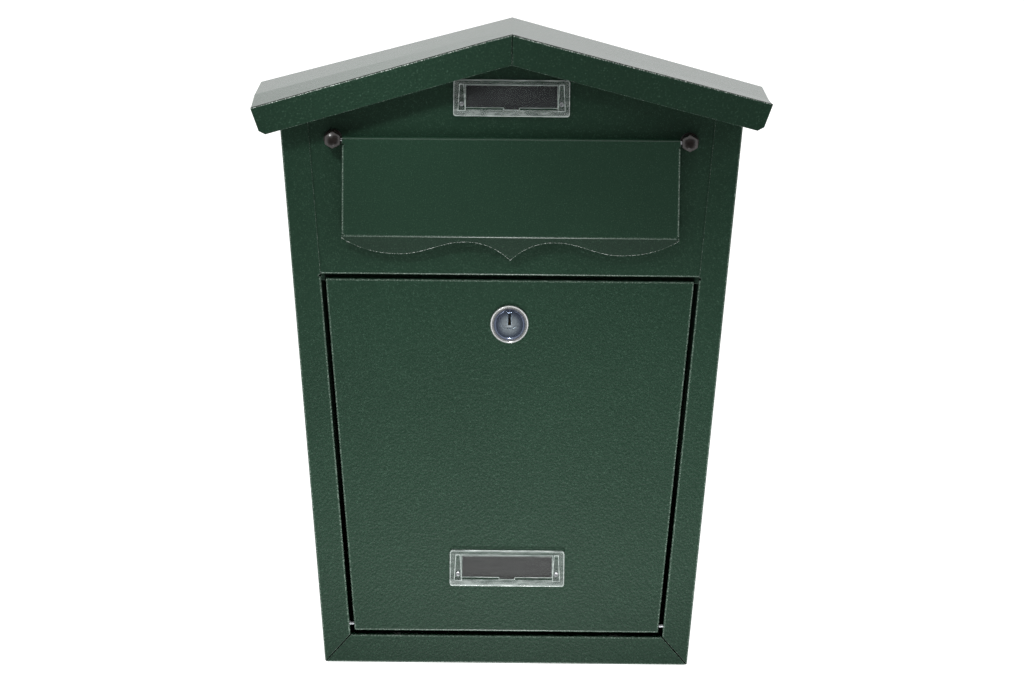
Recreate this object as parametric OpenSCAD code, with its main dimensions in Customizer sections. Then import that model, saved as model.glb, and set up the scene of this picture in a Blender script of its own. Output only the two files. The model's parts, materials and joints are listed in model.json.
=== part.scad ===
// Wall mounted mailbox: a tapered sheet steel body under a gable roof, with a
// letter flap on a hinge rod and a locking door that tips forward on two pins.
//
// X runs along the wall, Z points up and the front faces -Y. The back of the box
// is the plane y = 0, and the origin is the middle of the four wall holes. Heights
// named below are measured from the bottom of the body.

/* [Body] */
// Half of the body's width at its bottom edge
base_half_width = 128; // [115:1:140]
// How far each side leans out for each millimetre of height
side_lean = 0.0844; // [0.06:0.0002:0.1]
// Depth from the wall to the front face
body_depth = 105; // [95:1:115]
// Thickness of the sheet steel
sheet = 0.8; // [0.6:0.1:1]
// Width of the frame on each side of the door
frame_width = 19.5; // [16:0.5:24]
// Height of the frame below the door
rail_height = 20; // [16:0.5:24]
// Depth of the lips folded back round the door opening
lip_depth = 8; // [6:0.5:10]
// Width of the mitre cut at each lower corner of the frame
mitre_gap = 0.8; // [0.4:0.1:1.2]
// Width of the tabs that join the sides to the roof
roof_tab = 14; // [10:1:20]

/* [Back] */
// Distance between the wall holes, sideways
wall_hole_across = 160; // [120:5:180]
// Distance between the wall holes, up and down
wall_hole_up = 200; // [160:5:205]
// Height of the middle of the wall holes
wall_hole_height = 160; // [150:1:165]
// Radius of a wall hole
wall_hole_radius = 3.25; // [2.5:0.25:4]
// Depth of the flange round the back panel
back_flange = 12; // [8:1:18]

/* [Roof] */
// Height of the ridge
ridge_height = 448; // [440:1:456]
// Slope of the roof in degrees
roof_pitch = 15; // [12:0.5:18]
// Width of the roof over both eaves
roof_width = 360; // [345:1:375]
// Depth of the roof from the wall to its front face
roof_depth = 120; // [117:1:130]
// Height of the front board, square to the slope
board_height = 20.6; // [16:0.2:24]
// Lean of the board's ends in degrees
board_end_lean = 20; // [15:1:25]
// Length cut off the board's lower corners
board_corner = 3.5; // [2:0.5:5]
// Gap between the two halves of the board
board_gap = 0.8; // [0.4:0.1:1.5]
// Depth of the edge turned down along each eave
eave_flange = 14; // [8:1:18]

/* [Front panel] */
// Height of the top of the door opening
opening_top = 278; // [274:1:282]
// Depth of the panel's lower lip
panel_lip = 10; // [8.5:0.5:12]
// Drop of the catch that the door closes against
catch_drop = 6; // [5:0.5:7]
// Width of the letter slot
slot_width = 226; // [200:1:230]
// Height of the letter slot's lower edge
slot_bottom = 322; // [318:1:326]
// Height of the slot itself
slot_height = 32; // [28:1:36]
// Depth of the lips inside the letter slot
slot_lip = 6; // [4:0.5:8]

/* [Door] */
// Gap round the door
door_gap = 3.3; // [2.5:0.1:4]
// Depth of the edges folded back round the door
door_edge = 9.6; // [8:0.2:9.8]
// Height of the hinge pins
hinge_height = 27.1; // [26.5:0.1:28]
// Distance of the hinge pins behind the front face
hinge_setback = 5; // [4:0.1:5.2]
// Radius of a hinge pin
hinge_pin_radius = 1.25; // [1:0.05:1.5]
// Length of a hinge pin
hinge_pin_length = 9; // [7:0.5:11]

/* [Letter flap] */
// Half of the flap's width
flap_half_width = 117; // [114:0.5:117.5]
// Height of the hinge rod
rod_height = 373.2; // [371:0.2:375]
// Radius of the hinge rod
rod_radius = 1.25; // [1:0.05:1.5]
// Distance of the flap's face in front of the body's front face
flap_stand_off = 8; // [7:0.5:9]
// Height of the crease above the wavy edge
flap_crease = 306.4; // [304:0.2:309]
// Lean of the wavy strip towards the box in degrees
flap_strip_lean = 8; // [0:1:12]
// Drop of the wavy edge below the crease at the flap's ends
wave_end_drop = 2.1; // [1:0.1:3]
// Drop at the two low curves
wave_low_drop = 12.8; // [10:0.2:14]
// Drop at the two arches
wave_arch_drop = 4; // [3:0.2:6]
// Drop at the point in the middle
wave_point_drop = 16.8; // [12:0.2:18]
// Distance of the low curves from the middle
wave_low_at = 76; // [70:1:82]
// Distance of the arches from the middle
wave_arch_at = 32; // [28:1:38]
// How sharply the wavy edge turns down to its point and up to its ends
wave_bend = 2.3; // [1.5:0.1:3]

/* [Hinge posts] */
// Distance of each post from the middle
post_at = 123.5; // [123:0.1:125]
// Radius over the corners of a post's six sides
post_radius = 6.2; // [5:0.1:6.4]
// Length of a post in front of the panel
post_length = 12.8; // [11:0.2:14]
// Radius of the threaded shank
shank_radius = 2; // [1.5:0.1:2.5]

/* [Lock] */
// Height of the middle of the lock's face
lock_height = 243.8; // [240:0.2:248]
// Radius of the lock's rim
rim_radius = 13.3; // [12:0.1:14]
// Radius of the raised face inside the rim
face_radius = 10.9; // [10:0.1:11.5]
// Radius of the barrel behind the face
barrel_radius = 10.2; // [9.8:0.1:10.4]
// Height of the plug's axis above the middle of the face
plug_offset = 3.6; // [3:0.1:3.8]
// Radius of the plug's head
plug_head_radius = 6.6; // [6:0.1:6.8]
// Radius of the plug's body
plug_body_radius = 5.6; // [5:0.1:5.7]
// Length of the cam from its axis to its tip
cam_reach = 34; // [32:0.5:38]
// Width of the cam
cam_width = 14; // [12:0.5:16]

/* [Name holders] */
// Width of a name holder
holder_width = 80.6; // [76:0.2:84]
// Height of a name holder
holder_height = 25.4; // [24:0.2:28]
// Thickness of a name holder
holder_depth = 3.2; // [2.4:0.1:4]
// Width of the card
card_width = 63; // [60:0.5:63]
// Height of the card
card_height = 15; // [13:0.5:16]
// Height of the lower holder's middle
lower_holder_height = 69.4; // [60:0.2:80]
// Height of the upper holder's middle
upper_holder_height = 402.3; // [401:0.1:403]

/* [Hidden] */

paint = [0.14, 0.235, 0.185];
zinc = [0.78, 0.79, 0.8];
chrome = [0.72, 0.74, 0.76];
post_brown = [0.17, 0.13, 0.12];
clear_plastic = [0.86, 0.9, 0.88, 0.45];
card_grey = [0.2, 0.21, 0.22];
brass = [0.78, 0.62, 0.3];

// Clearances
eps = 0.01; // overlap that joins two shapes of one solid
run_fit = 0.05; // radial clearance round a turning shaft
panel_clearance = 0.2; // gap between the front panel and the body's sides
cut = 1; // how far a cutting shape runs past what it cuts

// Body
front = -body_depth;
lean_stretch = sqrt(1 + side_lean * side_lean);
roof_slope = tan(roof_pitch);
roof_stretch = 1 / cos(roof_pitch);
roof_under = ridge_height - sheet * roof_stretch;
panel_face = front + sheet;
panel_back = front + 2 * sheet;
relief = 1.6; // size of the notches where a fold ends
lip_top = opening_top - 2;
tab_front = front + sheet + relief;

// Door
door_bottom = rail_height + door_gap;
door_top = opening_top - door_gap;
pin_y = front + hinge_setback;
pin_head_radius = 2.6;
pin_head_length = 1;

// Letter flap
flap_face = front - flap_stand_off;
curl_radius = rod_radius + sheet;
rod_y = flap_face + curl_radius;
rod_half_length = post_at + 3.5;
flap_stop_gap = 0.4; // gap between the flap's sides and the panel
flap_side_top = 4; // drop of the flap's sides below the rod
flap_side_foot = 1; // height of the flap's sides above the crease
curl_turn = 270; // how far round the rod the flap's top edge is rolled
wave_steps = 14; // straight pieces in each curve of the wavy edge

// Hinge posts
post_foot_radius = 6.4;
post_foot = 2;
post_dome_radius = 8.5;
shank_length = 6;
post_nut_radius = 4.04;
post_nut_height = 3.2;

// Lock
rim_depth = 2.2;
face_rise = 1.6;
plug_recess = 0.5; // depth of the plug's face behind the lock's face
plug_head_depth = 4;
barrel_back = -92.7;
lock_nut_radius = 14.5;
lock_nut_depth = 3.5;
plug_axis = lock_height + plug_offset;
face_front = front - rim_depth - face_rise;
key_width = 2;
key_height = 8.6;
key_depth = 15;
square_boss = 7;
cam_thickness = 1.5;
cam_front = barrel_back + 0.2;
cam_back = cam_front + cam_thickness;
cam_hole_gap = 0.02;
stud_radius = 2.5;
washer_radius = 5.5;
washer_thickness = 0.8;
cam_nut_radius = 4.6;
cam_nut_height = 4;
stud_end = cam_back + washer_thickness + cam_nut_height + 0.8;
tumbler_radius = 1;
tumbler_count = 4;
tumbler_first = -101.4; // depth of the front tumbler
tumbler_pitch = 2.3;
tumbler_bottom = -6; // height of the chambers' lower ends from the lock's middle
key_pin_length = 2.6;
driver_length = 2.2;
spring_wire = 0.3;
shear_gap = 0.06; // gap that each tumbler leaves at the plug's surface

// Name holders
holder_corner = 2;
card_thickness = 0.3;
card_gap = 0.2;
pane_thickness = 1.2;
card_shift = 1.1; // height of the card's middle above the holder's middle
thumb_notch_width = 10;
thumb_notch_height = 1.4;
end_recess_at = 34.6; // distance of each end recess from the middle
end_recess_top = 9.4; // height of the recess's top above the holder's middle
end_recess_foot = -8.4;
end_recess_top_width = 2.4;
end_recess_foot_width = 4.4;
end_recess_floor = 1.2;
rivet_radius = 0.9;
rivet_head_radius = 1.6;
rivet_head_height = 0.6;
rivet_low = -4.2; // height of the rivets above the holder's middle

function half_width(height) = base_half_width + side_lean * height;

// Height at which a side meets the roof
function shoulder_height(side = base_half_width, peak = roof_under) =
    (peak - roof_slope * side) / (1 + roof_slope * side_lean);

// ---- Helpers ----------------------------------------------------------------

// Moves a shape from heights above the body's bottom into the part's own frame
module in_frame() {
    translate([0, 0, -wall_hole_height]) children();
}

// Extrudes an outline drawn in X and Z forwards from y_back
module slab(y_back, depth) {
    translate([0, y_back, 0]) rotate([90, 0, 0]) linear_extrude(depth) children();
}

// Cylinder along Y from y_front to y_back
module bar_y(x, height, y_front, y_back, radius, sides = 64) {
    translate([x, y_back, height])
        rotate([90, 0, 0])
            cylinder(h = y_back - y_front, r = radius, $fn = sides);
}

// Cylinder along X, centred on x
module bar_x(x, y, height, length, radius) {
    translate([x, y, height])
        rotate([0, 90, 0])
            cylinder(h = length, r = radius, center = true, $fn = 48);
}

// Outline of the body seen from the front, moved in from its sides and its roof line
module gable_outline(inset = 0, floor_height = 0, drop = 0) {
    side = base_half_width - inset * lean_stretch;
    peak = roof_under - drop * roof_stretch;
    shoulder = shoulder_height(side, peak);
    shoulder_x = side + side_lean * shoulder;
    polygon([
        [-side - side_lean * floor_height, floor_height],
        [side + side_lean * floor_height, floor_height],
        [shoulder_x, shoulder],
        [0, peak],
        [-shoulder_x, shoulder],
    ]);
}

// Tapered outline parallel to the sides, between two heights
module taper_outline(inset, low, high) {
    polygon([
        [-half_width(low) + inset, low],
        [half_width(low) - inset, low],
        [half_width(high) - inset, high],
        [-half_width(high) + inset, high],
    ]);
}

// Rectangle with round corners, centred
module round_rect(width, height, radius) {
    square([width - 2 * radius, height], center = true);
    square([width, height - 2 * radius], center = true);
    for (x = [-1, 1], z = [-1, 1])
        translate([x * (width / 2 - radius), z * (height / 2 - radius)])
            circle(r = radius, $fn = 32);
}

module wall_holes() {
    for (x = [-1, 1], z = [-1, 1])
        bar_y(
            x * wall_hole_across / 2,
            wall_hole_height + z * wall_hole_up / 2,
            -back_flange,
            cut,
            wall_hole_radius
        );
}

// ---- Casing -----------------------------------------------------------------

// Cut of a given depth along the mitre between the frame's side and its bottom rail
module mitre_slit(side, depth, length) {
    inner_x = half_width(rail_height) - frame_width;
    angle = atan2(rail_height, base_half_width - inner_x);
    slab(front + depth, depth + cut)
        translate([side * inner_x, rail_height])
            rotate(side > 0 ? -angle : 180 + angle)
                translate([-cut, -mitre_gap / 2])
                    square([length + cut, mitre_gap]);
}

// Mitre through the lips and the frame, down to a notch at the body's lower corner
module mitre_cut(side) {
    run = base_half_width - half_width(rail_height) + frame_width;
    mitre_slit(side, lip_depth + cut, 3 * sheet);
    mitre_slit(side, relief, sqrt(run * run + rail_height * rail_height));
    slab(front + relief, relief + cut)
        translate([side * base_half_width, 0])
            square(2 * relief, center = true);
}

// Notches where the side lips end under the front panel
module lip_relief(side) {
    slab(front + lip_depth + cut, lip_depth + 2 * cut)
        translate([side * (half_width(lip_top) - frame_width), lip_top + relief / 2])
            square([2 * relief, relief], center = true);
}

// Notches where a side, its frame and its roof tab meet
module shoulder_relief(side) {
    shoulder = shoulder_height();
    slab(tab_front, relief + sheet + cut)
        translate([side * half_width(shoulder), shoulder])
            square(2 * relief, center = true);
}

module body_wrap() {
    tab_end = half_width(shoulder_height()) - roof_tab;
    color(paint) in_frame() difference() {
        union() {
            // Bottom and sides
            slab(0, body_depth) difference() {
                gable_outline();
                gable_outline(sheet, sheet, -cut);
            }
            // Tabs under the roof
            slab(0, -tab_front) difference() {
                gable_outline();
                gable_outline(-cut, -cut, sheet);
                translate([0, ridge_height])
                    square([2 * tab_end, roof_width], center = true);
            }
            // Frame round the front
            slab(front + sheet, sheet) gable_outline();
            // Lips folded back round the door opening
            slab(front + lip_depth, lip_depth)
                taper_outline(frame_width - sheet, rail_height - sheet, lip_top);
        }
        // The open front
        slab(front + lip_depth + cut, lip_depth + 2 * cut)
            taper_outline(frame_width, rail_height, ridge_height);
        for (side = [-1, 1]) {
            mitre_cut(side);
            lip_relief(side);
            shoulder_relief(side);
            bar_x(side * hinge_pin_x(), pin_y, hinge_height, hinge_pin_length, hinge_pin_radius);
        }
    }
}

module back_panel() {
    color(paint) in_frame() difference() {
        union() {
            slab(0, sheet) gable_outline(sheet, sheet, sheet);
            slab(0, back_flange) difference() {
                gable_outline(sheet, sheet, sheet);
                gable_outline(2 * sheet, 2 * sheet, 2 * sheet);
            }
        }
        wall_holes();
    }
}

module upper_front_panel() {
    inset = sheet + panel_clearance;
    slot_middle = slot_bottom + slot_height / 2;
    lip_half_width = half_width(opening_top) - frame_width - panel_clearance;
    color(paint) in_frame() difference() {
        union() {
            slab(panel_back, sheet) intersection() {
                gable_outline(inset, 0, sheet);
                translate([0, opening_top + ridge_height / 2])
                    square([2 * roof_width, ridge_height], center = true);
            }
            // Edge under the roof
            slab(panel_face + panel_lip, panel_lip) difference() {
                gable_outline(inset, 0, sheet);
                gable_outline(0, -cut, 2 * sheet);
            }
            // Lower lip and the catch behind the door's top edge
            slab(panel_face + panel_lip, panel_lip)
                translate([-lip_half_width, opening_top])
                    square([2 * lip_half_width, sheet]);
            slab(panel_face + panel_lip, sheet)
                translate([-lip_half_width, opening_top - catch_drop])
                    square([2 * lip_half_width, catch_drop + sheet]);
            // Lips inside the letter slot
            slab(panel_face + slot_lip, slot_lip) translate([0, slot_middle])
                square([slot_width, slot_height + 2 * sheet], center = true);
        }
        slab(0, 2 * body_depth) translate([0, slot_middle])
            square([slot_width, slot_height], center = true);
        for (side = [-1, 1]) {
            // Notches where the lower lip ends
            slab(panel_back + cut, sheet + 2 * cut)
                translate([side * (lip_half_width + relief / 2), opening_top])
                    square([relief, 2 * relief], center = true);
            bar_y(side * post_at, rod_height, front - cut, panel_back + cut, shank_radius);
            bar_y(
                side * end_recess_at,
                upper_holder_height + rivet_low,
                front - cut,
                panel_back + cut,
                rivet_radius
            );
        }
    }
}

// One half of the roof's front board, on the side given by 1 or -1
module board_outline(side) {
    end_x = roof_width / 2;
    end_z = ridge_height - end_x * roof_slope;
    drop = board_height * roof_stretch;
    end_length = drop / (cos(board_end_lean) + roof_slope * sin(board_end_lean));
    corner_x = end_x - end_length * sin(board_end_lean);
    corner_z = end_z - end_length * cos(board_end_lean);
    scale([side, 1]) polygon([
        [board_gap / 2, ridge_height - board_gap / 2 * roof_slope],
        [end_x, end_z],
        [
            corner_x + board_corner * sin(board_end_lean),
            corner_z + board_corner * cos(board_end_lean),
        ],
        [corner_x - board_corner * cos(roof_pitch), corner_z + board_corner * sin(roof_pitch)],
        [board_gap / 2, ridge_height - drop - board_gap / 2 * roof_slope],
    ]);
}

// Section of the edge turned down along an eave, at the same lean as the board's end
module eave_outline(side) {
    end_x = roof_width / 2;
    end_z = ridge_height - end_x * roof_slope;
    foot_x = -eave_flange * sin(board_end_lean);
    foot_z = -eave_flange * cos(board_end_lean);
    scale([side, 1]) translate([end_x, end_z]) polygon([
        [0, 0],
        [foot_x, foot_z],
        [foot_x - sheet, foot_z + sheet * roof_slope],
        [-sheet, sheet * roof_slope],
    ]);
}

module roof() {
    end_x = roof_width / 2;
    eave = ridge_height - end_x * roof_slope;
    skin = sheet * roof_stretch;
    flange_front = 2 * relief - roof_depth;
    color(paint) in_frame() difference() {
        union() {
            slab(0, roof_depth) polygon([
                [-end_x, eave],
                [0, ridge_height],
                [end_x, eave],
                [end_x - skin * roof_slope, eave - skin + skin * roof_slope * roof_slope],
                [0, ridge_height - skin],
                [-end_x + skin * roof_slope, eave - skin + skin * roof_slope * roof_slope],
            ]);
            for (side = [-1, 1]) {
                slab(sheet - roof_depth, sheet) board_outline(side);
                slab(0, -flange_front) eave_outline(side);
            }
        }
        // Slit through the fold at the ridge
        slab(relief - roof_depth, relief + cut)
            translate([0, ridge_height])
                square([board_gap, 2 * relief], center = true);
        // Notches between each end of the board and the edge along the eave
        for (side = [-1, 1])
            slab(flange_front, relief)
                translate([side * end_x, eave])
                    square(2 * relief, center = true);
    }
}

module hinge_post(side) {
    dome_y = panel_face - post_length + post_dome_radius;
    color(post_brown) in_frame() difference() {
        union() {
            bar_y(
                side * post_at,
                rod_height,
                panel_face - post_foot,
                panel_face,
                post_foot_radius
            );
            intersection() {
                translate([side * post_at, panel_face - post_foot + eps, rod_height])
                    rotate([90, 90, 0])
                        cylinder(h = post_length, r = post_radius, $fn = 6);
                translate([side * post_at, dome_y, rod_height])
                    sphere(r = post_dome_radius, $fn = 64);
            }
            bar_y(
                side * post_at,
                rod_height,
                panel_face - eps,
                panel_face + shank_length,
                shank_radius
            );
        }
        bar_x(0, rod_y, rod_height, 2 * (rod_half_length + run_fit), rod_radius + run_fit);
    }
}

module hinge_post_nuts() {
    color(zinc) in_frame() for (side = [-1, 1]) difference() {
        bar_y(
            side * post_at,
            rod_height,
            panel_back,
            panel_back + post_nut_height,
            post_nut_radius,
            6
        );
        bar_y(side * post_at, rod_height, panel_face, panel_back + 2 * post_nut_height, shank_radius);
    }
}

function hinge_pin_x() = half_width(hinge_height) - frame_width - door_gap / 2 - 0.6;

module door_hinge_pin(side) {
    head_x = hinge_pin_x() + hinge_pin_length / 2 + pin_head_length / 2;
    color(zinc) in_frame() union() {
        bar_x(side * hinge_pin_x(), pin_y, hinge_height, hinge_pin_length, hinge_pin_radius);
        bar_x(side * head_x, pin_y, hinge_height, pin_head_length + eps, pin_head_radius);
    }
}

// ---- Name holders -----------------------------------------------------------

module card_outline(gap = 0) {
    translate([0, card_shift])
        square([card_width + 2 * gap, card_height + 2 * gap], center = true);
    translate([0, card_shift - card_height / 2 - thumb_notch_height / 2])
        square([thumb_notch_width + 2 * gap, thumb_notch_height + 2 * gap], center = true);
}

// Tapered recess that holds a rivet's head at each end of a name holder
module end_recess_outline() {
    polygon([
        [-end_recess_foot_width / 2, end_recess_foot],
        [end_recess_foot_width / 2, end_recess_foot],
        [end_recess_top_width / 2, end_recess_top],
        [-end_recess_top_width / 2, end_recess_top],
    ]);
}

module name_cover(face, height) {
    color(clear_plastic) in_frame() translate([0, face, height]) difference() {
        slab(0, holder_depth) round_rect(holder_width, holder_height, holder_corner);
        slab(cut, holder_depth - pane_thickness + cut) card_outline(card_gap);
        for (side = [-1, 1]) {
            slab(-end_recess_floor, holder_depth)
                translate([side * end_recess_at, 0])
                    end_recess_outline();
            bar_y(side * end_recess_at, rivet_low, -2 * holder_depth, cut, rivet_radius);
        }
    }
}

module name_card(face, height) {
    color(card_grey) in_frame() translate([0, face, height])
        slab(0, card_thickness) card_outline();
}

module name_rivets(face, height) {
    color(zinc) in_frame() translate([0, face, height]) for (side = [-1, 1]) union() {
        bar_y(
            side * end_recess_at,
            rivet_low,
            -end_recess_floor - rivet_head_height / 2,
            sheet + rivet_head_height / 2,
            rivet_radius
        );
        bar_y(
            side * end_recess_at,
            rivet_low,
            -end_recess_floor - rivet_head_height,
            -end_recess_floor,
            rivet_head_radius
        );
        bar_y(
            side * end_recess_at,
            rivet_low,
            sheet,
            sheet + rivet_head_height,
            rivet_head_radius
        );
    }
}

// ---- Letter flap ------------------------------------------------------------

// Eased step from 0 to 1, level at both ends
function ease(t) = (1 - cos(180 * t)) / 2;

// Depth of the wavy edge below the crease, at a distance from the middle
function wave_drop(at) =
    at > wave_low_at
        ? wave_low_drop - (wave_low_drop - wave_end_drop)
            * pow((at - wave_low_at) / (flap_half_width - wave_low_at), wave_bend)
        : at > wave_arch_at
            ? wave_arch_drop + (wave_low_drop - wave_arch_drop)
                * ease((at - wave_arch_at) / (wave_low_at - wave_arch_at))
            : wave_arch_drop + (wave_point_drop - wave_arch_drop)
                * pow(1 - at / wave_arch_at, wave_bend);

// Points of the wavy edge between two distances from the middle
function wave_points(from, to) = [
    for (i = [0:wave_steps - 1])
        let (at = from + (to - from) * i / wave_steps) [at, -wave_drop(at)]
];

// The flap's outline from its wavy edge to the rod, with heights from the crease
module wavy_outline() {
    right = concat(
        wave_points(0, wave_arch_at),
        wave_points(wave_arch_at, wave_low_at),
        wave_points(wave_low_at, flap_half_width),
        [[flap_half_width, -wave_end_drop]]
    );
    left = [for (i = [len(right) - 1:-1:1]) [-right[i][0], right[i][1]]];
    top = rod_height - flap_crease + cut;
    polygon(concat(left, right, [[flap_half_width, top], [-flap_half_width, top]]));
}

// Section through the flap's face and its strip, drawn in Y and Z
module flap_section() {
    run = wave_point_drop + cut;
    foot_y = flap_face + run * sin(flap_strip_lean);
    foot_z = flap_crease - run * cos(flap_strip_lean);
    polygon([
        [flap_face, rod_height],
        [flap_face, flap_crease],
        [foot_y, foot_z],
        [foot_y + sheet * cos(flap_strip_lean), foot_z + sheet * sin(flap_strip_lean)],
        [flap_face + sheet, flap_crease + sheet * tan(flap_strip_lean / 2)],
        [flap_face + sheet, rod_height],
    ]);
}

module flap_side_outline() {
    back = panel_face - flap_stop_gap;
    foot = flap_crease + flap_side_foot;
    polygon([
        [flap_face, foot],
        [back, foot],
        [back, rod_height - 3 * flap_side_top],
        [rod_y, rod_height - flap_side_top],
        [flap_face, rod_height - flap_side_top],
    ]);
}

module letter_flap() {
    color(paint) in_frame() union() {
        // Face and wavy strip, notched where the folds at its ends stop
        difference() {
            intersection() {
                translate([-flap_half_width, 0, 0]) rotate([90, 0, 90])
                    linear_extrude(2 * flap_half_width) flap_section();
                translate([0, 0, flap_crease])
                    slab(0, body_depth + wave_point_drop)
                        wavy_outline();
            }
            for (side = [-1, 1], foot = [flap_crease, rod_height - flap_side_top])
                translate([side * flap_half_width, 0, foot])
                    slab(0, 2 * body_depth)
                        translate([-relief, 0])
                            square([2 * relief, flap_side_foot]);
        }
        // Top edge rolled round the rod, from behind the face over the top
        translate([-flap_half_width, rod_y, rod_height])
            rotate([90, 0, 90])
                rotate([0, 0, 180 - curl_turn])
                    rotate_extrude(angle = curl_turn, $fn = 64)
                        translate([rod_radius, 0])
                            square([sheet, 2 * flap_half_width]);
        // Edges folded back at the ends
        for (side = [-1, 1])
            translate([side > 0 ? flap_half_width - sheet : -flap_half_width, 0, 0])
                rotate([90, 0, 90])
                    linear_extrude(sheet) flap_side_outline();
    }
}

module flap_rod() {
    color(zinc) in_frame() bar_x(0, rod_y, rod_height, 2 * rod_half_length, rod_radius);
}

// ---- Door -------------------------------------------------------------------

module door_panel() {
    side_inset = frame_width + door_gap;
    color(paint) in_frame() difference() {
        union() {
            slab(front + sheet, sheet) taper_outline(side_inset, door_bottom, door_top);
            slab(front + door_edge, door_edge) difference() {
                taper_outline(side_inset, door_bottom, door_top);
                taper_outline(side_inset + sheet, door_bottom + sheet, door_top - sheet);
            }
        }
        bar_y(0, lock_height, front - cut, front + sheet + cut, barrel_radius);
        for (side = [-1, 1]) {
            bar_x(
                side * hinge_pin_x(),
                pin_y,
                hinge_height,
                hinge_pin_length + 2 * cut,
                hinge_pin_radius + run_fit
            );
            bar_y(
                side * end_recess_at,
                lower_holder_height + rivet_low,
                front - cut,
                front + sheet + cut,
                rivet_radius
            );
        }
    }
}

// ---- Lock -------------------------------------------------------------------

// Places children at each tumbler's depth
module each_tumbler() {
    for (i = [0:tumbler_count - 1])
        translate([0, tumbler_first + i * tumbler_pitch, 0]) children();
}

// Upright cylinder between two heights
module upright(low, high, radius) {
    translate([0, 0, low]) cylinder(h = high - low, r = radius, $fn = 32);
}

// The housing seen as a profile of radius and depth, spun round the face's middle
module housing_shape() {
    translate([0, front, lock_height]) rotate([90, 0, 0]) rotate_extrude($fn = 96) polygon([
        [0, front - barrel_back],
        [barrel_radius, front - barrel_back],
        [barrel_radius, 0],
        [rim_radius, 0],
        [rim_radius, rim_depth - 0.9],
        [rim_radius - 0.9, rim_depth],
        [face_radius, rim_depth],
        [face_radius - 0.7, rim_depth + face_rise - 0.6],
        [face_radius - 2, rim_depth + face_rise],
        [0, rim_depth + face_rise],
    ]);
}

module lock_housing() {
    color(chrome) in_frame() difference() {
        housing_shape();
        bar_y(
            0,
            plug_axis,
            face_front - cut,
            face_front + plug_recess + plug_head_depth,
            plug_head_radius + run_fit
        );
        bar_y(0, plug_axis, face_front, cut, plug_body_radius + run_fit);
        each_tumbler() upright(
            lock_height + tumbler_bottom,
            plug_axis - plug_body_radius + 1,
            tumbler_radius
        );
    }
}

module lock_nut() {
    color(zinc) in_frame() difference() {
        bar_y(0, lock_height, panel_face, panel_face + lock_nut_depth, lock_nut_radius, 6);
        bar_y(0, lock_height, front - cut, 0, barrel_radius);
    }
}

module lock_driver_pins() {
    top = plug_axis - plug_body_radius - run_fit - shear_gap;
    color(brass) in_frame() each_tumbler()
        upright(top - driver_length, top, tumbler_radius - run_fit);
}

module lock_springs() {
    top = plug_axis - plug_body_radius - run_fit - shear_gap - driver_length;
    color(zinc) in_frame() each_tumbler() difference() {
        upright(lock_height + tumbler_bottom, top, tumbler_radius - run_fit);
        upright(0, ridge_height, tumbler_radius - run_fit - spring_wire);
    }
}

module keyway() {
    slab(face_front + plug_recess + key_depth, key_depth + 2 * plug_recess)
        translate([-key_width / 2, plug_axis - key_height / 2])
            square([key_width, key_height]);
}

module lock_plug() {
    color(chrome) in_frame() difference() {
        union() {
            bar_y(
                0,
                plug_axis,
                face_front + plug_recess,
                face_front + plug_recess + plug_head_depth - run_fit,
                plug_head_radius
            );
            bar_y(0, plug_axis, face_front + plug_recess + cut, barrel_back, plug_body_radius);
            slab(cam_back, cam_back - barrel_back + eps) translate([0, plug_axis])
                square(square_boss, center = true);
            bar_y(0, plug_axis, barrel_back, stud_end, stud_radius);
        }
        keyway();
        each_tumbler() upright(
            plug_axis - plug_body_radius - cut,
            plug_axis - key_height / 2 + 0.5,
            tumbler_radius
        );
    }
}

module lock_key_pins() {
    low = plug_axis - plug_body_radius + shear_gap;
    color(brass) in_frame() each_tumbler()
        upright(low, low + key_pin_length, tumbler_radius - run_fit);
}

module cam_outline() {
    circle(r = cam_width / 2, $fn = 64);
    translate([-cam_reach + cam_width / 4, -cam_width / 2])
        square([cam_reach - cam_width / 4, cam_width]);
    for (z = [-1, 1])
        translate([-cam_reach + cam_width / 4, z * cam_width / 4])
            circle(r = cam_width / 4, $fn = 48);
    translate([-cam_reach, -cam_width / 4])
        square([cam_width / 2, cam_width / 2]);
}

module lock_cam() {
    color(zinc) in_frame() slab(cam_back, cam_thickness) translate([0, plug_axis]) difference() {
        cam_outline();
        square(square_boss + 2 * cam_hole_gap, center = true);
    }
}

module cam_washer() {
    color(zinc) in_frame() difference() {
        bar_y(0, plug_axis, cam_back, cam_back + washer_thickness, washer_radius);
        bar_y(0, plug_axis, barrel_back, 0, stud_radius);
    }
}

module cam_nut() {
    nut_front = cam_back + washer_thickness;
    color(zinc) in_frame() difference() {
        bar_y(0, plug_axis, nut_front, nut_front + cam_nut_height, cam_nut_radius, 6);
        bar_y(0, plug_axis, barrel_back, 0, stud_radius);
    }
}

// ---- The parts --------------------------------------------------------------

body_wrap();
back_panel();
upper_front_panel();
roof();
hinge_post(-1);  // hinge_post_left
hinge_post(1);  // hinge_post_right
hinge_post_nuts();
door_hinge_pin(-1);  // door_hinge_pin_left
door_hinge_pin(1);  // door_hinge_pin_right
name_cover(panel_face, upper_holder_height);  // upper_name_cover
name_card(panel_face, upper_holder_height);  // upper_name_card
name_rivets(panel_face, upper_holder_height);  // upper_name_rivets
letter_flap();
flap_rod();
door_panel();
name_cover(front, lower_holder_height);  // lower_name_cover
name_card(front, lower_holder_height);  // lower_name_card
name_rivets(front, lower_holder_height);  // lower_name_rivets
lock_housing();
lock_nut();
lock_driver_pins();
lock_springs();
lock_plug();
lock_key_pins();
lock_cam();
cam_washer();
cam_nut();
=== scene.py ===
"""A wall mounted mailbox of folded, powder coated sheet steel.

Each sheet-metal piece takes the flat shape of its CAD node and gets what the real folding
and coating give it: round folds, eased cut edges and a grained coat of paint.
"""

import json
import math

import bmesh
import bpy
from mathutils import Matrix, Vector
from mathutils.bvhtree import BVHTree


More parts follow.
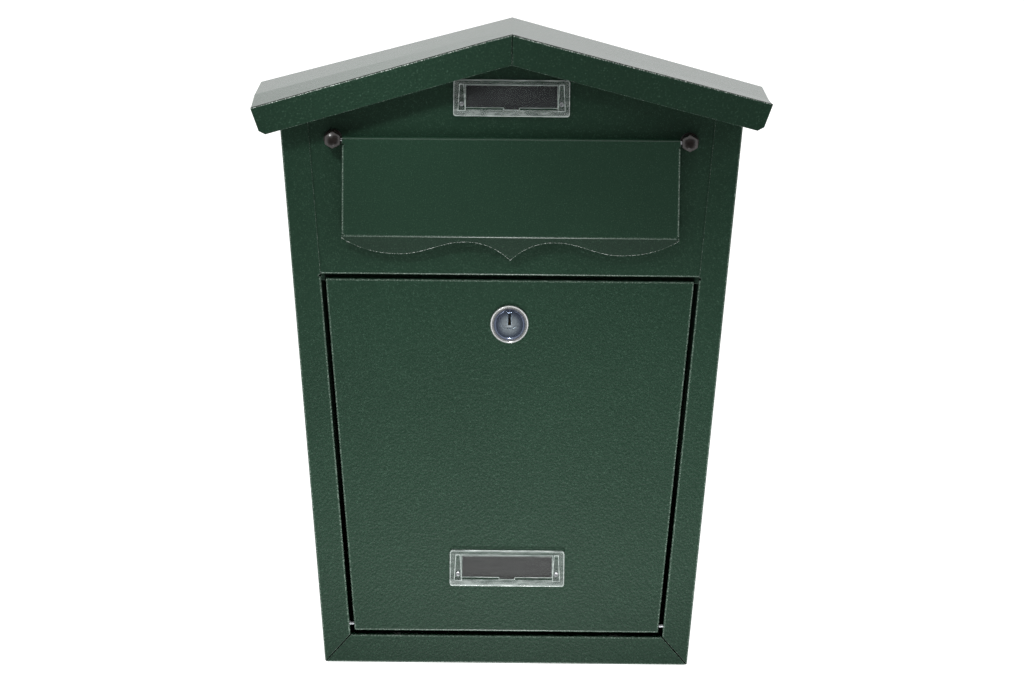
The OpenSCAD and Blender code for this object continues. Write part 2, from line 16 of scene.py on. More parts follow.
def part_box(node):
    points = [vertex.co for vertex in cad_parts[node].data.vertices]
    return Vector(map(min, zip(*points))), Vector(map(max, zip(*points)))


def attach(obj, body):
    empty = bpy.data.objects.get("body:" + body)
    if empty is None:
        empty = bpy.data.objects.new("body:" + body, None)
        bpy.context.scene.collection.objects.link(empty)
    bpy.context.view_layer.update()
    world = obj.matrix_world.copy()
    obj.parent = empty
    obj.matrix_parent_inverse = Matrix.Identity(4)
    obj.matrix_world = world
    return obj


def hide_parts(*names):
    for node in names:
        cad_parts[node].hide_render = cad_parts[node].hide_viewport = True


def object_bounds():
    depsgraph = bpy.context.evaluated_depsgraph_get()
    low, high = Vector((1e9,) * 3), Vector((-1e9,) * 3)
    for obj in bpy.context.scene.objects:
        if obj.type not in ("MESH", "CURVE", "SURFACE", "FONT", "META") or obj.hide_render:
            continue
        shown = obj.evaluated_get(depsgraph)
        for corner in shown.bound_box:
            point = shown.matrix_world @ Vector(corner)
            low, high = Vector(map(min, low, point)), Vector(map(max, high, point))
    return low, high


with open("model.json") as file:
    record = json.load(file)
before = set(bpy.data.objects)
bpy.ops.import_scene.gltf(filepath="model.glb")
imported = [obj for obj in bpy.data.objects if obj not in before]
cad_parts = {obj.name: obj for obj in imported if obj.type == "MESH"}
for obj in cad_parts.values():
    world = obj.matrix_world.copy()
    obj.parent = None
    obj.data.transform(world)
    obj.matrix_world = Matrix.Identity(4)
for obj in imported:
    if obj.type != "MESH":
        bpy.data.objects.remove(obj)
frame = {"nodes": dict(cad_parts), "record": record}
cad_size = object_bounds()

scene = bpy.context.scene
nodes = frame["nodes"]
body_of = {
    node: body
    for body, members in frame["record"]["behaviour"]["bodies"].items()
    for node in members
}

MM = 0.001
SHEET = 0.8 * MM  # thickness of the steel
FOLD = 1.15 * MM  # outer radius of a fold
CUT_EDGE = 0.2 * MM  # rounding that the paint gives a cut edge
CUT_EDGE_WEAR_AND_HIGHLIGHT = 1.1  # how much painted highlight a cut edge gets, with its thinner paint, where a fold has 1
WAVE_EDGE_HIGHLIGHT = 2.6  # painted highlight on the flap's wavy edge, in the same measure
WELD = 0.002 * MM  # distance at which two points are the same one
MITRE_GAP = 0.06 * MM  # the same where folds meet, and for the small step at the roof's eaves
FLAT = 0.3  # degrees: faces that turn by less are one face
FOLDED = 40  # degrees: sheet faces that turn by more have a fold between them
SHARP = 60  # degrees: edges of the name covers and the plug that turn by more get rounded
BLUNT = 30  # degrees: the same for all other solid pieces
ROOF_SLOPE = math.tan(math.radians(15))
BENT_DEPTH = 42 * MM  # how far back from the front the roof's corners are bent
LEFT_DROP = 4.3 * MM  # how far the roof's front left corner is bent down
RIGHT_RISE = 2 * MM  # how far the right one is bent up
STILL_HALF = 15 * MM  # half the width of the roof's middle, which isn't bent
SLOT_HEIGHT = 178 * MM  # middle of the letter slot
WALL_HOLE_HEIGHTS = (-100 * MM, 100 * MM)


# ---- Shapes -------------------------------------------------------------------


def cad_shape(node, weld=WELD, flat=FLAT):
    """The shape of a CAD node, with its points joined and its flat faces whole."""
    shape = bmesh.new()
    shape.from_mesh(nodes[node].data)
    bmesh.ops.remove_doubles(shape, verts=shape.verts, dist=weld)
    bmesh.ops.dissolve_limit(
        shape, angle_limit=math.radians(flat), verts=shape.verts, edges=shape.edges
    )
    return shape


def inner_points(shape):
    """A point well inside each face, which may be hollow or bent round a corner."""
    best = {}
    for corners in shape.calc_loop_triangles():
        a, b, c = (corner.vert.co for corner in corners)
        area = (b - a).cross(c - a).length
        face = corners[0].face
        if area > best.get(face, (0, None))[0]:
            best[face] = (area, (a + b + c) / 3)
    return {face: point for face, (area, point) in best.items()}


def is_strip(face):
    """Whether a face is about as narrow as the steel is thick, with a sharp edge all round."""
    half_way_round = sum(edge.calc_length() for edge in face.edges) / 2
    sharp = all(edge.calc_face_angle(0) > math.radians(45) for edge in face.edges)
    return sharp and face.calc_area() < 1.2 * SHEET * half_way_round


def cut_edge_faces(shape):
    """The faces that are cut edges of the steel: behind them it is deeper than one sheet."""
    shape.normal_update()
    tree = BVHTree.FromBMesh(shape)
    found = []
    for face, point in inner_points(shape).items():
        start = point - face.normal * 0.01 * MM
        depth = tree.ray_cast(start, -face.normal)[3]
        if depth is None or depth > 1.3 * SHEET or is_strip(face):
            found.append(face)
    return found


def connected(face):
    """All the faces that can be reached from a face over edges of some length."""
    found, waiting = {face}, [face]
    while waiting:
        for edge in waiting.pop().edges:
            if edge.calc_length() < 0.1 * MM:
                continue
            for other in edge.link_faces:
                if other not in found:
                    found.add(other)
                    waiting.append(other)
    return found


def slice_shape(shape, places, axis):
    """Cuts a shape across, without parting it."""
    direction = Vector([float(i == axis) for i in range(3)])
    for place in places:
        geometry = shape.verts[:] + shape.edges[:] + shape.faces[:]
        bmesh.ops.bisect_plane(
            shape, geom=geometry, dist=WELD, plane_co=direction * place, plane_no=direction
        )


def level_joins(shape, heights):
    """Splits flat faces level through the middle of their holes, and takes all other joins away."""
    slice_shape(shape, heights, 2)

    def is_level(edge):
        ends = [point.co.z for point in edge.verts]
        return any(all(abs(end - height) < WELD for end in ends) for height in heights)

    slanted = [edge for edge in joined_edges(shape, -FLAT, FLAT) if not is_level(edge)]
    bmesh.ops.dissolve_edges(shape, edges=slanted)
    bmesh.ops.dissolve_limit(shape, angle_limit=math.radians(FLAT), verts=shape.verts, edges=[])


def keep_outer_skin(shape, facing):
    """Leaves one side of a sheet-metal shape, without thickness: the one that looks towards facing."""
    bmesh.ops.delete(shape, geom=cut_edge_faces(shape), context="FACES")
    facing = Vector(facing)
    skins, left = [], set(shape.faces)
    while left:
        skin = connected(next(iter(left)))
        left -= skin
        skins.append(skin)

    def turned_to_facing(skin):
        return sum(face.calc_area() * face.normal.dot(facing) for face in skin)

    kept = max(skins, key=turned_to_facing)
    others = [face for face in shape.faces if face not in kept]
    bmesh.ops.delete(shape, geom=others, context="FACES")


def joined_edges(shape, low, high, shortest=0):
    """Edges between two faces that turn by an angle from low to high degrees."""
    shape.normal_update()
    return [
        edge
        for edge in shape.edges
        if len(edge.link_faces) == 2
        and math.radians(low) < edge.calc_face_angle_signed(0) < math.radians(high)
        and edge.calc_length() > shortest
    ]


def round_edges(shape, edges, radius, segments):
    """Rounds edges and returns the new faces."""
    made = bmesh.ops.bevel(
        shape,
        geom=edges,
        offset=radius,
        offset_type="OFFSET",
        segments=segments,
        profile=0.5,
        affect="EDGES",
        clamp_overlap=False,
    )
    return made["faces"]


def middle_height(node):
    low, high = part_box(node)
    return (low.z + high.z) / 2


def folded_skin(shape, facing, hole_heights=(), fold=FOLD):
    """The outer side of a sheet-metal shape with round folds, marked for a painted highlight with
    paint wear on the folds.
    """
    keep_outer_skin(shape, facing)
    level_joins(shape, hole_heights)
    wear_and_light = shape.faces.layers.float.new("wear_and_light")
    for face in round_edges(shape, joined_edges(shape, FOLDED, 180), fold, 5):
        face[wear_and_light] = 1
    inner_folds = joined_edges(shape, -180, -FOLDED, 20 * MM)
    round_edges(shape, inner_folds, fold - SHEET, 4)
    bmesh.ops.remove_doubles(shape, verts=shape.verts, dist=MITRE_GAP)
    return shape


def softened(node, radius):
    """A solid node with its outer edges rounded, the blunt ones too."""
    shape = cad_shape(node)
    round_edges(shape, joined_edges(shape, BLUNT, 180), radius, 3)
    return shape


# ---- Objects ------------------------------------------------------------------


def give_thickness(obj, thickness):
    """Turns a skin into sheet steel, and rounds its cut edges and marks them for a painted highlight
    with paint wear.
    """
    obj.data.materials.append(obj.data.materials[0])
    solid = obj.modifiers.new("thickness", "SOLIDIFY")
    solid.thickness = thickness
    solid.offset = -1
    solid.use_even_offset = True
    solid.use_quality_normals = True
    solid.material_offset_rim = 1
    graph = bpy.context.evaluated_depsgraph_get()
    obj.data = bpy.data.meshes.new_from_object(obj.evaluated_get(graph))
    obj.modifiers.clear()
    shape = bmesh.new()
    shape.from_mesh(obj.data)
    wear_and_light = shape.faces.layers.float.get("wear_and_light") or shape.faces.layers.float.new("wear_and_light")
    border = [
        edge
        for edge in shape.edges
        if sum(face.material_index for face in edge.link_faces) == 1
    ]
    # The cut edges get a painted highlight with paint wear.
    for face in shape.faces:
        if face.material_index:
            face[wear_and_light] = CUT_EDGE_WEAR_AND_HIGHLIGHT
            face.material_index = 0
    for face in round_edges(shape, border, CUT_EDGE, 2):
        face[wear_and_light] = CUT_EDGE_WEAR_AND_HIGHLIGHT
    shape.to_mesh(obj.data)
    shape.free()
    obj.data.materials.pop()


def make_object(name, shape, material, thickness):
    """An object from a finished shape. A skin also gets its thickness here."""
    mesh = bpy.data.meshes.new(name)
    shape.to_mesh(mesh)
    shape.free()
    mesh.materials.append(material)
    obj = bpy.data.objects.new(name, mesh)
    scene.collection.objects.link(obj)
    if thickness:
        give_thickness(obj, thickness)
    obj.data.shade_smooth()
    obj.data.set_sharp_from_angle(angle=math.radians(28))
    normals = obj.modifiers.new("flat_faces_first", "WEIGHTED_NORMAL")
    normals.keep_sharp = True
    return obj


def stand_for(node, shape, material, thickness=0.0):
    """A finished piece that takes the place of a CAD node and moves as it does."""
    obj = make_object(node + "_finished", shape, material, thickness)
    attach(obj, body_of[node])
    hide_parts(node)
    return obj


# ---- Materials ----------------------------------------------------------------


def tone(red, green, blue):
    """A colour given as it looks on a screen, from 0 to 255, in the shader's linear values."""

    def linear(value):
        value /= 255
        return value / 12.92 if value <= 0.04045 else ((value + 0.055) / 1.055) ** 2.4

    return (linear(red), linear(green), linear(blue), 1)


class Finish:
    """A material under construction: short ways to add shader nodes and join them."""

    def __init__(self, name):
        self.material = bpy.data.materials.new(name)
        self.material.use_nodes = True
        self.tree = self.material.node_tree
        self.surface = self.tree.nodes["Principled BSDF"]
        self.place = self.add("ShaderNodeTexCoord").outputs["Object"]

    def add(self, kind, **settings):
        node = self.tree.nodes.new(kind)
        for key, value in settings.items():
            setattr(node, key, value)
        return node

    def join(self, source, target):
        self.tree.links.new(source, target)

    def set(self, **values):
        for key, value in values.items():
            self.surface.inputs[key.replace("_", " ")].default_value = value

    def noise(self, scale, detail=2, roughness=0.5, stretch=None):
        node = self.add("ShaderNodeTexNoise")
        node.inputs["Scale"].default_value = scale
        node.inputs["Detail"].default_value = detail
        node.inputs["Roughness"].default_value = roughness
        place = self.place
        if stretch:
            mapping = self.add("ShaderNodeMapping")
            mapping.inputs["Scale"].default_value = stretch
            self.join(place, mapping.inputs["Vector"])
            place = mapping.outputs["Vector"]
        self.join(place, node.inputs["Vector"])
        return node.outputs["Fac"]

    def cells(self, scale):
        node = self.add("ShaderNodeTexVoronoi", feature="SMOOTH_F1")
        node.inputs["Scale"].default_value = scale
        node.inputs["Smoothness"].default_value = 0.6
        self.join(self.place, node.inputs["Vector"])
        return node.outputs["Distance"]

    def math(self, operation, a, b):
        node = self.add("ShaderNodeMath", operation=operation, use_clamp=False)
        for value, socket in zip((a, b), node.inputs):
            if isinstance(value, (int, float)):
                socket.default_value = value
            else:
                self.join(value, socket)
        return node.outputs[0]

    def ramp(self, source, stops):
        """Colours or grey values between stops, each a place and a value."""
        node = self.add("ShaderNodeValToRGB")
        elements = node.color_ramp.elements
        while len(elements) < len(stops):
            elements.new(0.5)
        for element, (place, value) in zip(elements, stops):
            element.position = place
            element.color = value if isinstance(value, tuple) else (value, value, value, 1)
        self.join(source, node.inputs["Fac"])
        return node.outputs["Color"]

    def mix(self, factor, a, b, blend="MIX"):
        node = self.add("ShaderNodeMixRGB", blend_type=blend)
        for value, socket in zip((factor, a, b), node.inputs):
            if isinstance(value, (int, float, tuple)):
                socket.default_value = value
            else:
                self.join(value, socket)
        return node.outputs["Color"]

    def bump(self, height, distance, strength=1.0, under=None):
        node = self.add("ShaderNodeBump")
        node.inputs["Strength"].default_value = strength
        node.inputs["Distance"].default_value = distance
        self.join(height, node.inputs["Height"])
        if under:
            self.join(under, node.inputs["Normal"])
        return node.outputs["Normal"]


def powder_coat(name, grain):
    """Dark green powder coat with a leather grain.

    A face attribute sets the painted highlight and the paint's wear: 0 on flat faces, 1 on folds, more
    on the brightest edges, and below 0 painted shade, as if the face lay in the shade of a fold.
    """
    paint = Finish(name)
    cells = paint.cells(620)
    fine = paint.noise(1300 / grain, 3, 0.6)
    broad = paint.noise(9, 3)
    relief = paint.math("ADD", paint.math("MULTIPLY", cells, 1.1), fine)
    # Grain tone from the fine noise, whose lightest stop is a painted glint on the grain's high
    # points.
    depth = paint.ramp(
        fine, [(0.38, tone(25, 56, 40)), (0.58, tone(29, 61, 44)), (0.72, tone(60, 92, 74))]
    )
    tint = paint.ramp(broad, [(0.3, 0.9), (0.7, 1.0)])
    colour = paint.mix(1.0, depth, tint, "MULTIPLY")
    wear_and_light = paint.add("ShaderNodeAttribute", attribute_name="wear_and_light").outputs["Fac"]
    # Painted highlight with paint wear: light speckles on folds and cut edges, near white where the
    # attribute passes 1.
    speckle = paint.ramp(paint.noise(1000, 2), [(0.46, 0.15), (0.62, 1.0)])
    wear_and_highlight = paint.math("MULTIPLY", paint.math("MAXIMUM", wear_and_light, 0), speckle)
    colour = paint.mix(paint.math("MULTIPLY", wear_and_highlight, 0.55), colour, tone(128, 150, 136))
    colour = paint.mix(paint.math("SUBTRACT", wear_and_highlight, 0.9), colour, tone(225, 235, 228))
    # Painted shade: faces with a negative attribute are darkened towards near black, with more
    # roughness and less coat.
    shaded = paint.math("MAXIMUM", paint.math("MULTIPLY", wear_and_light, -0.9), 0)
    colour = paint.mix(shaded, colour, tone(6, 10, 8))
    paint.join(colour, paint.surface.inputs["Base Color"])
    gloss = paint.ramp(fine, [(0.3, 0.42), (0.7, 0.54)])
    gloss = paint.math("ADD", gloss, paint.math("MULTIPLY", shaded, 0.5))
    paint.join(gloss, paint.surface.inputs["Roughness"])
    coat = paint.math("SUBTRACT", 0.6, paint.math("MULTIPLY", shaded, 0.6))
    paint.join(coat, paint.surface.inputs["Coat Weight"])
    paint.set(Specular_IOR_Level=0.25, Coat_Roughness=0.22)
    waves = paint.bump(broad, 0.6 * MM, 0.3)
    grained = paint.bump(relief, 0.22 * MM * grain, 0.65, waves)
    paint.join(grained, paint.surface.inputs["Normal"])
    return paint.material


def metal(name, light, dark, roughness, grain_scale):
    """Bare or plated metal with a fine grain."""
    finish = Finish(name)
    grain = finish.noise(grain_scale, 4, 0.6)
    patches = finish.noise(180, 2)
    colour = finish.ramp(patches, [(0.35, dark), (0.65, light)])
    finish.join(colour, finish.surface.inputs["Base Color"])
    low, high = roughness
    finish.join(finish.ramp(grain, [(0.3, low), (0.7, high)]), finish.surface.inputs["Roughness"])
    finish.set(Metallic=1.0)
    finish.join(finish.bump(grain, 0.02 * MM, 0.5), finish.surface.inputs["Normal"])
    return finish.material


def lock_chrome():
    """Polished chrome with painted reflections: a painted highlight on the rim and in the middle of
    the lock's face, and a painted dark blue-grey reflection between them.
    """
    finish = Finish("chrome_plate")
    low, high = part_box("lock_housing")
    flat = finish.add("ShaderNodeMapping")
    flat.inputs["Location"].default_value = (-(low.x + high.x) / 2, 0, -(low.z + high.z) / 2)
    flat.inputs["Scale"].default_value = (1, 0, 1)
    finish.join(finish.place, flat.inputs["Vector"])
    radius = finish.add("ShaderNodeVectorMath", operation="LENGTH")
    finish.join(flat.outputs["Vector"], radius.inputs[0])
    share = finish.math("DIVIDE", radius.outputs["Value"], (high.x - low.x) / 2)
    # Painted reflections in rings round the lock's middle: light in the middle, dark blue-grey, then a
    # light rim.
    painted_reflection_rings = [
        (0.0, tone(226, 236, 242)),
        (0.38, tone(190, 204, 214)),
        (0.6, tone(112, 124, 142)),
        (0.8, tone(84, 92, 112)),
        (0.88, tone(224, 226, 226)),
    ]
    finish.join(finish.ramp(share, painted_reflection_rings), finish.surface.inputs["Base Color"])
    haze = finish.noise(90, 2)
    finish.join(finish.ramp(haze, [(0.35, 0.12), (0.65, 0.2)]), finish.surface.inputs["Roughness"])
    finish.set(Metallic=0.75)
    return finish.material


def post_paint():
    """Dark brown enamel on the hinge posts."""
    finish = Finish("post_enamel")
    grain = finish.noise(900, 3)
    colour = finish.ramp(grain, [(0.3, tone(18, 13, 12)), (0.7, tone(36, 28, 25))])
    finish.join(colour, finish.surface.inputs["Base Color"])
    finish.join(finish.ramp(grain, [(0.3, 0.28), (0.7, 0.42)]), finish.surface.inputs["Roughness"])
    finish.set(Specular_IOR_Level=0.6, Coat_Weight=0.3, Coat_Roughness=0.15)
    finish.join(finish.bump(grain, 0.05 * MM, 0.6), finish.surface.inputs["Normal"])
    return finish.material


def clear_plastic():
    """Clear moulded plastic: clear over the card, a little cloudy beside it, with a painted highlight
    at its edges.
    """
    finish = Finish("clear_plastic")
    flow = finish.noise(260, 3, 0.5, (0.35, 1, 1.6))
    finish.join(
        finish.ramp(flow, [(0.3, tone(176, 188, 184)), (0.7, tone(214, 224, 220))]),
        finish.surface.inputs["Base Color"],
    )
    cloudy_and_edge_highlight = finish.add("ShaderNodeAttribute", attribute_name="cloudy_and_edge_highlight").outputs["Fac"]
    streaks = finish.ramp(flow, [(0.35, 0.7), (0.65, 1.25)])
    finish.join(finish.math("MULTIPLY", cloudy_and_edge_highlight, streaks), finish.surface.inputs["Alpha"])
    finish.join(finish.ramp(flow, [(0.3, 0.06), (0.7, 0.16)]), finish.surface.inputs["Roughness"])
    finish.set(IOR=1.49)
    finish.join(finish.bump(flow, 0.1 * MM, 0.4), finish.surface.inputs["Normal"])
    return finish.material


def card_stock(name, dark, light):
    """Grey card with its fibres."""
    finish = Finish(name)
    fibres = finish.noise(900, 5, 0.7, (1, 1, 3))
    colour = finish.ramp(fibres, [(0.3, dark), (0.7, light)])
    finish.join(colour, finish.surface.inputs["Base Color"])
    finish.join(finish.ramp(fibres, [(0.3, 0.6), (0.7, 0.8)]), finish.surface.inputs["Roughness"])
    finish.join(finish.bump(fibres, 0.05 * MM, 0.5), finish.surface.inputs["Normal"])
    return finish.material


green = powder_coat("green_powder_coat", 1.0)
green_coarse = powder_coat("green_powder_coat_coarse", 1.9)
zinc = metal("zinc_plate", tone(214, 216, 219), tone(178, 182, 186), (0.24, 0.4), 700)
chrome = lock_chrome()
brass = metal("turned_brass", tone(150, 124, 78), tone(120, 96, 56), (0.25, 0.4), 500)
enamel = post_paint()
clear = clear_plastic()
cards = {
    "upper": card_stock("dark_card_stock", tone(16, 19, 23), tone(25, 28, 32)),
    "lower": card_stock("grey_card_stock", tone(40, 40, 40), tone(50, 50, 50)),
}


# ---- Sheet metal --------------------------------------------------------------


def painted_sheet(node, shape, paint):
    """A sheet-metal skin with its thickness and its paint."""
    return stand_for(node, shape, paint, SHEET)


def sag(point):
    """How far the roof has been bent at a place: down on the left, up on the right."""
    low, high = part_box("roof")
    along = min(max((low.y + BENT_DEPTH - point.y) / BENT_DEPTH, 0), 1)
    across = max(0, abs(point.x) - STILL_HALF) / (high.x - STILL_HALF)
    return along * across * (-LEFT_DROP if point.x < 0 else RIGHT_RISE)


def press_down(shape):
    """Presses the upper ends of a sheet down where the roof above it has been bent down."""
    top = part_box("roof")[1].z
    for point in shape.verts:
        below_roof = top - abs(point.co.x) * ROOF_SLOPE - point.co.z
        if below_roof < 5 * MM:
            point.co.z += min(0, sag(point.co))


def make_casing():
    """The body, its back and the panel round the letter slot."""
    pins = middle_height("door_hinge_pin_left")
    body = folded_skin(cad_shape("body_wrap"), (0, -1, -1), [pins])
    press_down(body)
    painted_sheet("body_wrap", body, green)
    back = folded_skin(cad_shape("back_panel"), (0, 1, 0), WALL_HOLE_HEIGHTS)
    painted_sheet("back_panel", back, green)
    in_panel = [middle_height("hinge_post_left"), middle_height("upper_name_rivets"), SLOT_HEIGHT]
    panel = folded_skin(cad_shape("upper_front_panel"), (0, -1, 0), in_panel)
    press_down(panel)
    painted_sheet("upper_front_panel", panel, green)


def make_roof():
    """The roof, with painted shade on top of its front fold, a painted highlight with paint wear on
    the fold's lower half, and a little bent.
    """
    shape = folded_skin(cad_shape("roof", MITRE_GAP, 5), (0, -1, 1))
    wear_and_light = shape.faces.layers.float["wear_and_light"]
    # Painted shade on the fold's upward faces, a painted highlight with paint wear on its front faces.
    for face in shape.faces:
        if face[wear_and_light] and face.normal.y < -0.1:
            face[wear_and_light] = -1.1 if face.normal.z > 0.65 else 1.7
    bend_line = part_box("roof")[0].y + BENT_DEPTH
    slice_shape(shape, [bend_line - 1 * MM, bend_line, bend_line + 1 * MM], 1)
    places = (STILL_HALF, 70 * MM, 125 * MM)
    slice_shape(shape, [side * place for side in (-1, 1) for place in places], 0)
    for point in shape.verts:
        point.co.z += sag(point.co)
    painted_sheet("roof", shape, green_coarse)


def make_door():
    """The door, with holes for its hinge pins, its name holder and its lock."""
    fitted = ("door_hinge_pin_left", "lower_name_rivets", "lock_housing")
    heights = [middle_height(node) for node in fitted]
    painted_sheet("door_panel", folded_skin(cad_shape("door_panel"), (0, -1, 0), heights), green)


def make_flap():
    """The letter flap, with a raised crease above its wavy edge, painted shade on the strip below the
    crease and a painted highlight on the crease and the wavy edge.
    """
    shape = folded_skin(cad_shape("letter_flap"), (0, -1, 0), fold=1.2 * MM)
    wear_and_light = shape.faces.layers.float["wear_and_light"]
    crease = min(joined_edges(shape, 5, 40, 100 * MM), key=lambda edge: edge.verts[0].co.z)
    middle = crease.verts[0].co.z
    half_width, swell = 0.6 * MM, 0.22 * MM
    bead = round_edges(shape, [crease], half_width, 6)
    # Painted shade on the strip below the crease, and a painted highlight on the raised crease.
    for face in shape.faces:
        if face.calc_center_median().z < middle:
            face[wear_and_light] = -0.25
    for face in bead:
        face[wear_and_light] = 0.6
    for point in {point for face in bead for point in face.verts}:
        away = (point.co.z - middle) / half_width
        point.co.y -= swell * max(0, 1 - away * away)
    flap = painted_sheet("letter_flap", shape, green).data
    # A painted highlight on the cut faces of the wavy edge.
    for face, wear_and_highlight in zip(flap.polygons, flap.attributes["wear_and_light"].data):
        if face.center.z < middle - 1 * MM and wear_and_highlight.value > 0:
            wear_and_highlight.value = WAVE_EDGE_HIGHLIGHT


# ---- Fittings -----------------------------------------------------------------


def dimple(shape, depth):
    """Sinks the middle of each front-facing round head, as in a hollow rivet."""
    shape.normal_update()
    front = min(point.co.y for point in shape.verts)
    heads = [
        face
        for face in shape.faces
        if face.normal.y < -0.99 and face.verts[0].co.y < front + WELD
    ]
    for face in heads:
        size = math.sqrt(face.calc_area() / math.pi)
        bmesh.ops.inset_region(shape, faces=[face], thickness=0.35 * size, depth=0)
        bmesh.ops.inset_region(shape, faces=[face], thickness=0.1 * size, depth=-depth)


def make_name_holder(level):
    """The clear cover, cloudy round the card and with a painted highlight at its edges, its rivets and
    its card.
    """
    shape = cad_shape(level + "_name_cover")
    cloudy_and_edge_highlight = shape.faces.layers.float.new("cloudy_and_edge_highlight")
    low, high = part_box(level + "_name_cover")
    window_low, window_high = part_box(level + "_name_card")
    corners = [
        edge
        for edge in joined_edges(shape, SHARP, 120)
        if all(abs(abs(point.co.x) - high.x) < WELD for point in edge.verts)
        and abs(edge.verts[0].co.y - edge.verts[1].co.y) > 2 * MM
    ]
    round_edges(shape, corners, 2.2 * MM, 5)
    # Painted highlight: the rounded edges are made almost opaque in the plastic's light colour.
    for face in round_edges(shape, joined_edges(shape, SHARP, 180), 0.5 * MM, 3):
        face[cloudy_and_edge_highlight] = 0.85
    slice_shape(shape, (window_low.x, window_high.x), 0)
    slice_shape(shape, (window_low.z, window_high.z), 2)
    for face in shape.faces:
        middle = face.calc_center_median()
        beside = not window_low.x < middle.x < window_high.x
        if middle.z < window_low.z:
            haze = 0.34
        elif window_low.z < middle.z < window_high.z and not beside:
            haze = 0.015
        else:
            haze = 0.18
        face[cloudy_and_edge_highlight] = max(face[cloudy_and_edge_highlight], haze)
    stand_for(level + "_name_cover", shape, clear)
    rivets = softened(level + "_name_rivets", 0.25 * MM)
    dimple(rivets, 0.3 * MM)
    stand_for(level + "_name_rivets", rivets, zinc)
    card = nodes[level + "_name_card"].data
    card.materials.clear()
    card.materials.append(cards[level])


def make_fittings():
    """The hinge posts, pins, nuts and rod, and the two name holders."""
    for side in ("left", "right"):
        post = softened("hinge_post_" + side, 0.35 * MM)
        stand_for("hinge_post_" + side, post, enamel)
        pin = softened("door_hinge_pin_" + side, 0.3 * MM)
        stand_for("door_hinge_pin_" + side, pin, zinc)
    stand_for("hinge_post_nuts", softened("hinge_post_nuts", 0.25 * MM), zinc)
    stand_for("flap_rod", softened("flap_rod", 0.3 * MM), zinc)
    for level in ("upper", "lower"):
        make_name_holder(level)


def make_plug():
    """The lock's plug, with a wide chamfer round the keyway."""
    half_keyway = 1.6 * MM
    shape = cad_shape("lock_plug")
    low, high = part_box("lock_plug")
    middle = (low.x + high.x) / 2
    shape.normal_update()
    keyway = [
        edge
        for edge in shape.edges
        if all(
            point.co.y < low.y + WELD and abs(point.co.x - middle) < half_keyway
            for point in edge.verts
        )
    ]
    round_edges(shape, keyway, 0.8 * MM, 1)
    round_edges(shape, joined_edges(shape, SHARP, 180), 0.15 * MM, 2)
    stand_for("lock_plug", shape, chrome)


def make_lock():
    """The lock's housing, its plug, the nuts and cam behind the door, and what is inside."""
    stand_for("lock_housing", softened("lock_housing", 0.2 * MM), chrome)
    make_plug()
    inner = {
        "lock_nut": (0.4 * MM, zinc, "zinc"),
        "lock_cam": (0.2 * MM, zinc, "zinc"),
        "cam_washer": (0.1 * MM, zinc, "zinc"),
        "cam_nut": (0.3 * MM, zinc, "zinc"),
        "lock_driver_pins": (0.15 * MM, brass, "lock_brass"),
        "lock_key_pins": (0.15 * MM, brass, "lock_brass"),
        "lock_springs": (0.05 * MM, zinc, "zinc"),
    }
    for node, (radius, material, slot) in inner.items():
        stand_for(node, softened(node, radius), material)


# ---- Stage --------------------------------------------------------------------


def plain(name, colour, glow=0.0):
    """A dull, even surface for the studio, which may glow."""
    material = bpy.data.materials.new(name)
    material.use_nodes = True
    surface = material.node_tree.nodes["Principled BSDF"]
    surface.inputs["Base Color"].default_value = colour
    surface.inputs["Roughness"].default_value = 0.9
    surface.inputs["Emission Color"].default_value = (1, 1, 1, 1)
    surface.inputs["Emission Strength"].default_value = glow
    return material


def stage_plane(name, size, place, turn, material):
    """A flat sheet of the studio, which isn't part of the object."""
    shape = bmesh.new()
    bmesh.ops.create_grid(shape, x_segments=1, y_segments=1, size=0.5)
    bmesh.ops.scale(shape, vec=(size[0], size[1], 1), verts=shape.verts)
    mesh = bpy.data.meshes.new(name)
    shape.to_mesh(mesh)
    shape.free()
    mesh.materials.append(material)
    obj = bpy.data.objects.new(name, mesh)
    obj.location = place
    obj.rotation_euler = turn
    scene.collection.objects.link(obj)
    return obj


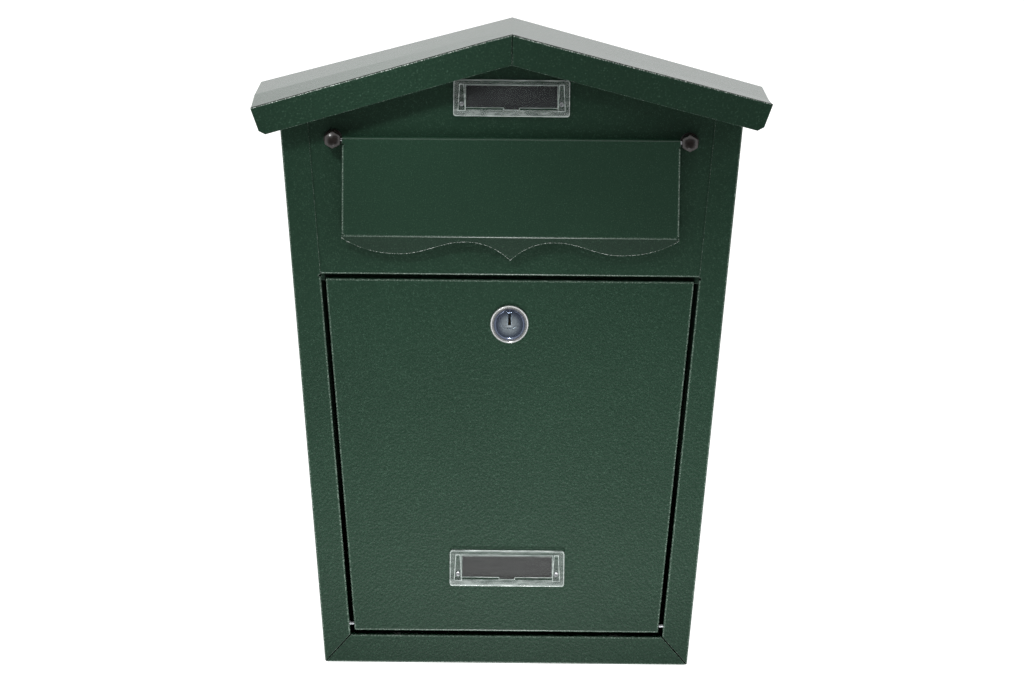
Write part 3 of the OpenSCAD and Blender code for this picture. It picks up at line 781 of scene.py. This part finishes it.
def spot(name, place, target, angle, power, width, size):
    """A cone of light that fades towards its edge, and may be wider than it is high."""
    data = bpy.data.lights.new(name, "SPOT")
    data.energy = power
    data.spot_size = math.radians(angle)
    data.spot_blend = 1.0
    data.shadow_soft_size = size
    obj = bpy.data.objects.new(name, data)
    obj.location = place
    obj.rotation_euler = (Vector(target) - Vector(place)).to_track_quat("-Z", "Y").to_euler()
    obj.scale = (width, 1, 1)
    scene.collection.objects.link(obj)


def make_stage():
    """White surroundings, a pale floor, and a dark card in front that the mailbox faces."""
    scene.view_settings.view_transform = "Standard"
    world = bpy.data.worlds.new("studio")
    world.use_nodes = True
    world.node_tree.nodes["Background"].inputs["Color"].default_value = (1, 1, 1, 1)
    world.node_tree.nodes["Background"].inputs["Strength"].default_value = 1.1
    scene.world = world
    floor_height = cad_size[0][2] - 0.45
    pale = plain("pale_floor", (0.9, 0.9, 0.9, 1), glow=0.3)
    floor = stage_plane("floor", (30, 30), (0, 0, floor_height), (0, 0, 0), pale)
    floor.visible_glossy = False
    felt = plain("dark_felt", (0.02, 0.02, 0.02, 1))
    upright = (math.radians(90), 0, 0)
    front_card = stage_plane("dark_card", (8, 8), (0, -3.6, -0.8), upright, felt)
    front_card.visible_camera = False
    door, eave = (0, -0.105, -0.02), (-0.1, -0.12, 0.26)
    spot("low_spot", (0, -0.65, -0.56), door, angle=21.5, power=20.5, width=4, size=0.04)
    spot("eave_spot", (-0.5, -0.8, 0.9), eave, angle=13, power=38, width=1, size=0.1)


def make_camera():
    """The camera of the reference view: far away, a little above the roof, looking slightly down."""
    data = bpy.data.cameras.new("camera")
    data.sensor_width = 36
    data.lens = 148.53
    camera = bpy.data.objects.new("camera", data)
    down, left, roll = 0.1752, -0.00176, 0.01011
    turn = Matrix.Rotation(left, 4, "Z") @ Matrix.Rotation(math.pi / 2 - down, 4, "X")
    place = Matrix.Translation((-0.0032, -3.0101, 0.5861))
    camera.matrix_world = place @ turn @ Matrix.Rotation(roll, 4, "Z")
    scene.collection.objects.link(camera)
    scene.camera = camera


make_camera()
make_casing()
make_roof()
make_door()
make_flap()
make_fittings()
make_lock()
make_stage()
